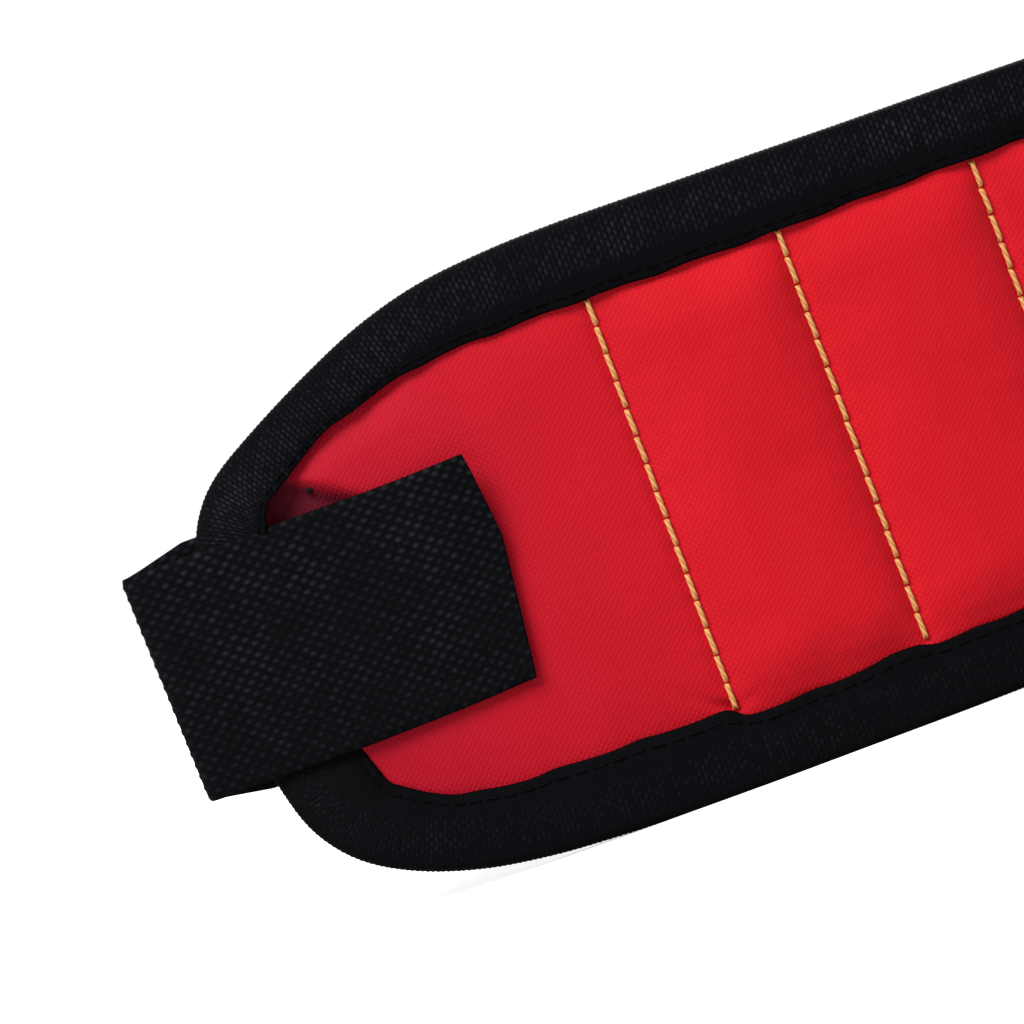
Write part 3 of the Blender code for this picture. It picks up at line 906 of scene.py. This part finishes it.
def tape_grid(line):
    """Flat points of the tape in rows round the outline, with their weave and flat position.

    A row is a closed ring: the outer side from front to back, and the inner side back again."""
    into = inward_normals(line)
    s, height = line[:, 0], line[:, 1]
    width = loop_smooth(binding_width(s, height), 30)
    steps = np.linalg.norm(np.roll(line, -1, 0) - line, axis=1)
    lengths, total = np.cumsum(steps) - steps, steps.sum()
    bulge = np.interp(np.minimum(s, BAND_LENGTH - s) / MM, [70, 120], [0.45, 0]) * MM
    depth, y = (np.array(values) for values in zip(*map(tape_profile, width, bulge)))
    outer = np.stack([s[:, None] + into[:, None, 0] * depth, y,
                      BAND_WIDTH / 2 + height[:, None] + into[:, None, 1] * depth], -1)
    across = np.r_[0, np.cumsum(np.hypot(*np.diff(np.stack([depth[0], y[0]]), axis=1)))]
    normal = -grid_normals(outer)
    relief, painted_dash_highlight = tape_ribs(lengths, total, across, depth, height)
    outer = outer + normal * (relief[..., None] - 0.5) * 0.12 * MM
    turn = 2 * math.pi * lengths / total
    slack = 0.12 * np.sin(round(total / (16.3 * MM)) * turn)
    slack += 0.09 * np.sin(round(total / (6.7 * MM)) * turn + 2)
    front = np.arange(depth.shape[1]) < FRONT_COLUMNS
    lift = np.exp(-((depth - width[:, None]) / (3 * MM)) ** 2) * front
    outer[..., 1] -= lift * slack[:, None] * MM
    # above the strap the tape's inner edge stands off the cover
    corner = np.exp(-((s - 7 * MM) / (10 * MM)) ** 2) * np.interp(
        height / MM, [17.5, 20, 23, 28, 36], [0, 0.6, 1, 0.8, 0])
    outer[..., 1] -= CORNER_LIFT * corner[:, None] * front * np.clip(
        depth / width[:, None], 0, 1) ** 1.4
    inner = outer[:, ::-1][:, ::5] - normal[:, ::-1][:, ::5] * TAPE_THICKNESS
    grid = np.concatenate([outer, inner], 1)
    values = np.concatenate([painted_dash_highlight, np.zeros(inner.shape[:2])], 1)
    flat = np.stack(np.broadcast_arrays(lengths[:, None], np.r_[
        across, np.zeros(inner.shape[1])][None, :]), -1)
    closed = np.concatenate([flat, flat[:1] + (total, 0)])
    return (*(np.concatenate([part, part[:1]]) for part in (grid, values)), closed)


def edge_stitches(grid, runs):
    """Stitches along the tape near its inner edge, over the given runs of rows."""
    column = 4                      # of the tape's grid, counted from its front edge
    stitches = []
    for a, b in runs:
        count = round((b - a) * BINDING_STEP / EDGE_STITCH)
        stops = grid[np.linspace(a, b, count + 1).round().astype(int), column]
        for p, q in zip(stops, stops[1:]):
            gap = (q - p) * 0.1
            stitches.append((p + gap, q - gap, (0, -1, 0)))
    return stitches


def add_binding():
    """The tape's pieces, one over each hinge, each with its stitches near the inner edge."""
    line, runs = outline()
    grid, values, flat = tape_grid(line)
    rest = to_rest(grid).reshape(grid.shape)
    around = np.concatenate([rest[-2:-1], rest, rest[1:2]])
    around = np.concatenate([around[:, -1:], around, around[:, :1]], 1)
    normals = -grid_normals(around)[1:-1, 1:-1]
    nodes = [n for n in frame["nodes"] if "_binding" in n]
    for k, stretches in runs.items():
        rows = [np.arange(a, b + 1) for a, b in stretches]
        counts = [0, len(rows[0]) * grid.shape[1]]
        faces = [grid_faces(len(part), grid.shape[1], wrap=True)[:, ::-1] + count
                 for part, count in zip(rows, counts)]
        rows = np.concatenate(rows)
        tape = add_mesh(f"binding_{k}", rest[rows].reshape(-1, 3), np.concatenate(faces), TAPE,
                        flat[rows].reshape(-1, 2), values[rows].ravel(),
                        normals[rows].reshape(-1, 3))
        own = tuple(f"{segment}_binding" for segment in own_segments(k))
        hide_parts(*[node for node in nodes if node.startswith(own)])
        points, faces, weave = sewn(edge_stitches(grid, stretches), EDGE_THREAD_RADIUS,
                                    dive=0.3 * MM)
        sewing = add_mesh(f"binding_sewing_{k}", to_rest(points), faces, SHADED_EDGE_THREAD,
                          values=weave)
        for obj in (tape, sewing):
            over_hinge(obj)


# ---- Strap ----

def strap_line():
    """Middle line (x, y) of the strap in the left tip's frame, from behind the tip."""
    cx, cy = FOLD_CENTRE
    angles = np.linspace(0, math.pi, 61)
    arc = np.stack([cx - FOLD_RADIUS * np.sin(angles), cy + FOLD_RADIUS * np.cos(angles)], 1)
    line = np.concatenate([[[ANCHOR_END, arc[0][1]]], arc, [[TONGUE_END, arc[-1][1]]]])
    return even(line, STRAP_STEP)


def weave_height(along, across):
    """Height of a plain weave of thick warps, 0 to 1, and how each float catches the light."""
    warp = np.floor(across / WARP_PITCH)
    ridge = np.sin(math.pi * (across / WARP_PITCH - warp)) ** 0.8
    turns = along / FLOAT_PITCH + 0.5 * (warp % 2)
    number, row = np.floor(turns + 0.5).astype(int), warp.astype(int)
    slip = 0.16 * (chance(number + 211, row) - 0.5)
    bead = 0.5 + 0.5 * np.cos(2 * math.pi * (turns - number - slip))
    return ridge * bead ** 2.2, 0.3 + 0.7 * chance(number, row)


def strap_grid():
    """The strap's middle line, and its points in closed rings, their weave and flat place."""
    line = strap_line()
    lengths = running_length(line)
    tangent = tangents(line)
    out = np.stack([tangent[:, 1], -tangent[:, 0]], 1)      # out of the fold's outer side
    across = np.linspace(0, STRAP_WIDTH, STRAP_COLUMNS + 1)
    u = across / STRAP_WIDTH
    half = np.minimum(1, np.minimum(across, STRAP_WIDTH - across) / MM)
    thick = STRAP_THICKNESS / 2 * (0.45 + 0.55 * np.sqrt(half))
    height, catch = weave_height(lengths[:, None], across[None, :])
    relief = (0.12 + 0.04 * catch) * MM * height * half[None, :]

    # the free end is cut a little askew, and its upper corner stands off the band
    left = lengths[-1] - lengths
    free = np.clip(1 - left / (30 * MM), 0, 1)[:, None]
    skew = np.interp(u, [0, 0.62, 0.93, 1], [-1.7, 0.9, -0.1, -0.5]) * MM
    curl = np.clip(1 - left[:, None] / (17 * MM), 0, 1) ** 2 * np.clip(
        (u[None, :] - 0.45) / 0.55, 0, 1) ** 1.5
    # the fold slants, and the layer behind the tip is pulled wide
    from_fold = line[:, 0] - line[:, 0].min()
    folded = np.clip(1 - from_fold / (14 * MM), 0, 1)[:, None]
    behind = np.where(line[:, 1] > FOLD_CENTRE[1], from_fold, 0)
    flare = np.clip(behind / (9.5 * MM), 0, 1)[:, None]
    wobble = 0.25 * np.sin(lengths / (7.3 * MM))[:, None] * MM

    z = STRAP_Z - STRAP_WIDTH / 2 + across[None, :] + wobble * free
    z = z + flare * ((z - STRAP_Z) * 0.105 + 0.5 * MM)
    z = z + free * (1 - u[None, :]) * 0.9 * MM
    faces = []
    for side in (1, -1):
        offset = side * (thick[None, :] - 0.12 * MM + relief)
        x = line[:, None, 0] + out[:, None, 0] * offset + free * skew[None, :]
        x = x - folded * (1.35 * u[None, :] - 0.35) * MM
        y = line[:, None, 1] + out[:, None, 1] * offset - 3.6 * MM * curl
        faces.append(np.stack([x, y, z], -1))
    # painted highlight on the floats, brighter towards the strap's top edge
    value = height * catch * (0.45 + 0.55 * u[None, :] ** 0.8)
    flat = np.stack(np.broadcast_arrays(lengths[:, None], across[None, :]), -1)
    rings = [np.concatenate([near, far[:, ::-1]], 1)
             for near, far in (faces, (value, value), (flat, flat))]
    return line, *rings


def add_strap():
    """The webbing in two pieces that meet in the middle of the fold."""
    line, grid, values, flat = strap_grid()
    middle = int(np.argmin(line[:, 0]))
    for name, rows, sign, bodies, nodes in (
            ("strap_back", slice(0, middle + 1), 1, ("left_tip", "strap_link"),
             ("strap_anchor", "strap_fold")),
            ("strap_front", slice(middle, len(line)), -1, ("strap_link", "strap_tongue"),
             ("strap_tongue",))):
        part = grid[rows]
        index = np.arange(part.shape[0] * part.shape[1]).reshape(part.shape[:2])
        end = index[0 if sign > 0 else -1]
        near, far = end[:STRAP_COLUMNS + 1], end[::-1][:STRAP_COLUMNS + 1]
        cap = np.stack([near[:-1], near[1:], far[1:], far[:-1]], -1)
        faces = np.concatenate([grid_faces(*index.shape, wrap=True), cap[:, ::sign]])
        obj = add_mesh(name, tip_frame(part.reshape(-1, 3)), faces, WEBBING,
                       flat[rows].reshape(-1, 2), values[rows].ravel())
        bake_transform(obj)
        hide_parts(*nodes)


# ---- Sewing and fastening ----

def run_of(a, b, pitch, lift, gap=0.35 * MM):
    """Stitches in a straight row from a to b."""
    a, b = np.array(a, float), np.array(b, float)
    count = max(1, round(np.linalg.norm(b - a) / pitch))
    way = (b - a) / np.linalg.norm(b - a) * gap
    stops = [a + (b - a) * i / count for i in range(count + 1)]
    return [(p + way, q - way, lift) for p, q in zip(stops, stops[1:])]


def box_rows(box, y, pitch, lift, cross=False):
    """Stitches round a box (x0, x1, z0, z1), and on its diagonals if it has a cross."""
    x0, x1, z0, z1 = box
    corners = [(x0, y, z0), (x1, y, z0), (x1, y, z1), (x0, y, z1)]
    rows = list(zip(corners, corners[1:] + corners[:1]))
    if cross:
        rows += [(corners[0], corners[2]), (corners[1], corners[3])]
    return [stitch for a, b in rows for stitch in run_of(a, b, pitch, lift)]


def knot(cover):
    """The knotted end of the strap's thread on the cover: points, faces and weave values."""
    theta, phi = np.meshgrid(np.linspace(0.1, math.pi - 0.1, 9),
                             np.linspace(0, 2 * math.pi, 14, endpoint=False), indexing="ij")
    ply = 0.5 + 0.5 * np.cos(3 * phi + 4 * theta)
    radius = KNOT_RADIUS * (0.92 + 0.12 * ply)
    points = np.stack([KNOT[0] + radius * np.sin(theta) * np.cos(phi),
                       surface_y(cover, *KNOT) - 0.1 * MM - 0.6 * radius * np.cos(theta),
                       KNOT[1] + radius * np.sin(theta) * np.sin(phi)], -1)
    return points.reshape(-1, 3), grid_faces(*ply.shape, wrap=True), ply.ravel()


def add_strap_sewing(cover):
    """Black stitches through the strap's back layer, and their other side on the cover."""
    back_y = FOLD_CENTRE[1] + FOLD_RADIUS + STRAP_THICKNESS / 2 + 0.05 * MM
    behind = sewn(box_rows(STRAP_BOX, back_y, 3 * MM, (0, 1, 0), cross=True),
                  STRAP_THREAD_RADIUS)
    rows = []
    for start, end, lift in box_rows(STRAP_BOX, 0, 3 * MM, (0, -1, 0), cross=True):
        for place in (start, end):
            place[1] = surface_y(cover, place[0], place[2]) - 0.1 * MM
        rows.append((start, end, lift))
    points, faces, values = sewn(rows, STRAP_THREAD_RADIUS)
    knot_points, knot_faces, knot_values = knot(cover)
    before = (np.concatenate([points, knot_points]),
              np.concatenate([faces, knot_faces + len(points)]),
              np.concatenate([values, knot_values]))
    for name, bend, (points, faces, values) in (("strap_sewing_back", tip_frame, behind),
                                                ("strap_sewing_front", to_rest, before)):
        obj = add_mesh(name, bend(points), faces, BLACK_THREAD, values=values)
        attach(obj, "left_tip")


def tubes(lines, radius, sides):
    """Points and faces of thin tubes along many lines."""
    rings = []
    angle = np.linspace(0, 2 * math.pi, sides, endpoint=False)
    for line in lines:
        tangent = tangents(line)
        side = np.cross(tangent, (0.31, 0.29, 0.9))
        side /= np.linalg.norm(side, axis=1, keepdims=True)
        other = np.cross(tangent, side)
        ring = (np.cos(angle)[None, :, None] * side[:, None] +
                np.sin(angle)[None, :, None] * other[:, None])
        rings.append(line[:, None] + radius * ring)
    return joined(rings)


def slab(box, base, top, rng, roughness):
    """A thin pad with rounded edges, from y = base to y = top: points and faces."""
    x0, x1, z0, z1 = box
    s, h = np.meshgrid(np.linspace(x0, x1, PAD_STEPS), np.linspace(z0, z1, PAD_STEPS),
                       indexing="ij")
    rim = np.minimum(np.minimum(s - x0, x1 - s), np.minimum(h - z0, z1 - h)) / (1.2 * MM)
    share = np.sqrt(np.clip(1 - (1 - np.clip(rim, 0, 1)) ** 2, 0, 1))
    y = base + (top - base) * share + rng.normal(0, roughness, s.shape) * share
    return np.stack([s, y, h], -1).reshape(-1, 3), grid_faces(*s.shape)


def add_pad(name, pad, lines, radius, sides, bend, material):
    """A pad's slab with thin hooks or loops on it."""
    points, faces = pad
    more_points, more_faces = tubes(lines, radius, sides)
    return add_mesh(name, bend(np.concatenate([points, more_points])),
                    np.concatenate([faces[:, ::-1], more_faces + len(points)]), material)


def add_hook_tape():
    """The hook side: a thin pad under the tongue with rows of small hooks."""
    rng = np.random.default_rng(RANDOM_SEED + 3)
    x0, x1, z0, z1 = HOOK_TAPE
    pad = slab(HOOK_TAPE, HOOK_TAPE_Y, HOOK_TAPE_Y + 0.5 * MM, rng, 0.004 * MM)
    lines = []
    t = np.linspace(0, 1, 6)
    reach = 0.35 * MM * (1 - np.cos(math.pi * t)) / 2
    height = 0.6 * MM * np.sin(math.pi * 0.62 * t)
    for i, x in enumerate(np.arange(x0 + 1.5 * MM, x1 - 1.2 * MM, 1.45 * MM)):
        for z in np.arange(z0 + 1.5 * MM, z1 - 1.2 * MM, 1.3 * MM):
            hook_x = x + rng.normal(0, 0.06) * MM + reach * (1 if i % 2 else -1)
            hook_z = np.full(len(t), z + rng.normal(0, 0.06) * MM)
            lines.append(np.stack([hook_x, HOOK_TAPE_Y + 0.42 * MM + height, hook_z], 1))
    obj = add_pad("hook_pad", pad, lines, 0.11 * MM, 5, tip_frame, HOOKS)
    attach(obj, "strap_tongue")
    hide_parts("hook_tape")


def add_loop_patch():
    """The loop side behind the far end: a pad of small fuzzy loops, sewn on round its edge."""
    rng = np.random.default_rng(RANDOM_SEED + 4)
    x0, z0 = STATIONS[-1] + LOOP_START, BAND_WIDTH / 2 - LOOP_LENGTH / 2
    x1, z1 = x0 + LOOP_LENGTH, z0 + LOOP_LENGTH
    pad = slab((x0, x1, z0, z1), -0.3 * MM, MM, rng, 0.03 * MM)
    edge, inset = 1.6 * MM, 1.3 * MM
    t = np.linspace(0, 1, 6)
    lines = []
    for _ in range(LOOP_COUNT):
        x, z = rng.uniform(x0 + edge, x1 - edge), rng.uniform(z0 + edge, z1 - edge)
        turn, width = rng.uniform(0, 2 * math.pi), rng.uniform(0.5, 1.1) * MM
        height = rng.uniform(0.35, 0.75) * MM
        way = (t - 0.5) * width
        lines.append(np.stack([x + way * math.cos(turn), 0.92 * MM + height * np.sin(math.pi * t),
                               z + way * math.sin(turn)], 1))
    pile = add_pad("loop_pad", pad, lines, 0.055 * MM, 4, to_rest, LOOPS)
    rows = box_rows((x0 + inset, x1 - inset, z0 + inset, z1 - inset), 0.75 * MM, 2.8 * MM,
                    (0, 1, 0))
    points, faces, values = sewn(rows, 0.3 * MM)
    sewing = add_mesh("loop_pad_sewing", to_rest(points), faces, BLACK_THREAD, values=values)
    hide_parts("loop_patch")
    for obj in (pile, sewing):
        over_hinge(obj)


# ---- Studio ----

def aim(obj, target, roll=0.0):
    """Turn obj's -Z towards target."""
    way = Vector(target) - obj.location
    turn = way.to_track_quat("-Z", "Y").to_matrix()
    obj.rotation_euler = (turn @ Matrix.Rotation(roll, 3, "Z")).to_euler()


def add_sun(name, azimuth, elevation, strength, spread):
    """A distant light; azimuth 0 shines from the front of the band and 90 from its right."""
    data = bpy.data.lights.new(name, "SUN")
    data.energy, data.angle = strength, math.radians(spread)
    light = bpy.data.objects.new(name, data)
    a, e = math.radians(azimuth), math.radians(elevation)
    light.location = (math.sin(a) * math.cos(e), -math.cos(a) * math.cos(e), math.sin(e))
    bpy.context.scene.collection.objects.link(light)
    aim(light, (0, 0, 0))


def add_studio():
    scene = bpy.context.scene
    scene.view_settings.view_transform = "Standard"
    # the world is white to the camera and a softer grey as light
    world = bpy.data.worlds.new("studio")
    scene.world = world
    world.use_nodes = True
    tree = world.node_tree
    backdrop, fill = tree.nodes["Background"], tree.nodes.new("ShaderNodeBackground")
    for background, strength in ((backdrop, 1.0), (fill, 0.42)):
        background.inputs[0].default_value = (1, 1, 1, 1)
        background.inputs[1].default_value = strength
    ray = tree.nodes.new("ShaderNodeLightPath")
    either = tree.nodes.new("ShaderNodeMixShader")
    tree.links.new(ray.outputs["Is Camera Ray"], either.inputs[0])
    tree.links.new(fill.outputs[0], either.inputs[1])
    tree.links.new(backdrop.outputs[0], either.inputs[2])
    tree.links.new(either.outputs[0], tree.nodes["World Output"].inputs[0])

    half = 6.0
    corners = [(-half, -half, 0), (half, -half, 0), (half, half, 0), (-half, half, 0)]
    add_mesh("floor", corners, [[0, 1, 2, 3]], make_floor())

    add_sun("key", -50, 50, 3.1, 34)
    add_sun("back_light", 150, 42, 1.2, 40)


def add_camera():
    """Level camera square to the strap end of the band, rolled so that the band rises."""
    target = to_rest([CAMERA_TARGET])[0]
    back = np.array([math.sin(CAMERA_AZIMUTH), -math.cos(CAMERA_AZIMUTH), 0])
    data = bpy.data.cameras.new("camera")
    data.sensor_width = 36
    data.lens = data.sensor_width * CAMERA_DISTANCE / CAMERA_VIEW
    data.clip_start, data.clip_end = 0.01, 50
    camera = bpy.data.objects.new("camera", data)
    camera.location = tuple(target + back * CAMERA_DISTANCE)
    bpy.context.scene.collection.objects.link(camera)
    aim(camera, tuple(target), CAMERA_ROLL)
    bpy.context.scene.camera = camera


# ---- Assembly ----

def build():
    add_camera()
    add_studio()
    cover = smooth_panel("cover_cloth", COVER_Y, (COVER_SWELL, INNER_SWELL, 0.0), -1,
                         COVER_GROWTH, RANDOM_SEED)
    lining = smooth_panel("lining_cloth", LINING_Y,
                          (LINING_SWELL, END_LINING_SWELL, END_LINING_SWELL), 1,
                          LINING_GROWTH, RANDOM_SEED + 1)
    add_panel("cover", cover, RED, True)
    add_panel("lining", lining, LINING, False)
    for number, obj in enumerate(add_seams("seam_front", cover, -1), 1):
        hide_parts(f"seam_thread_{number}")
    add_seams("seam_back", lining, 1)
    add_binding()
    add_strap()
    add_strap_sewing(cover)
    add_hook_tape()
    add_loop_patch()
    for name, node in frame["nodes"].items():
        if "_magnet_" in name:
            node.data.materials.clear()
            node.data.materials.append(NICKEL)


build()
bpy.context.view_layer.update()
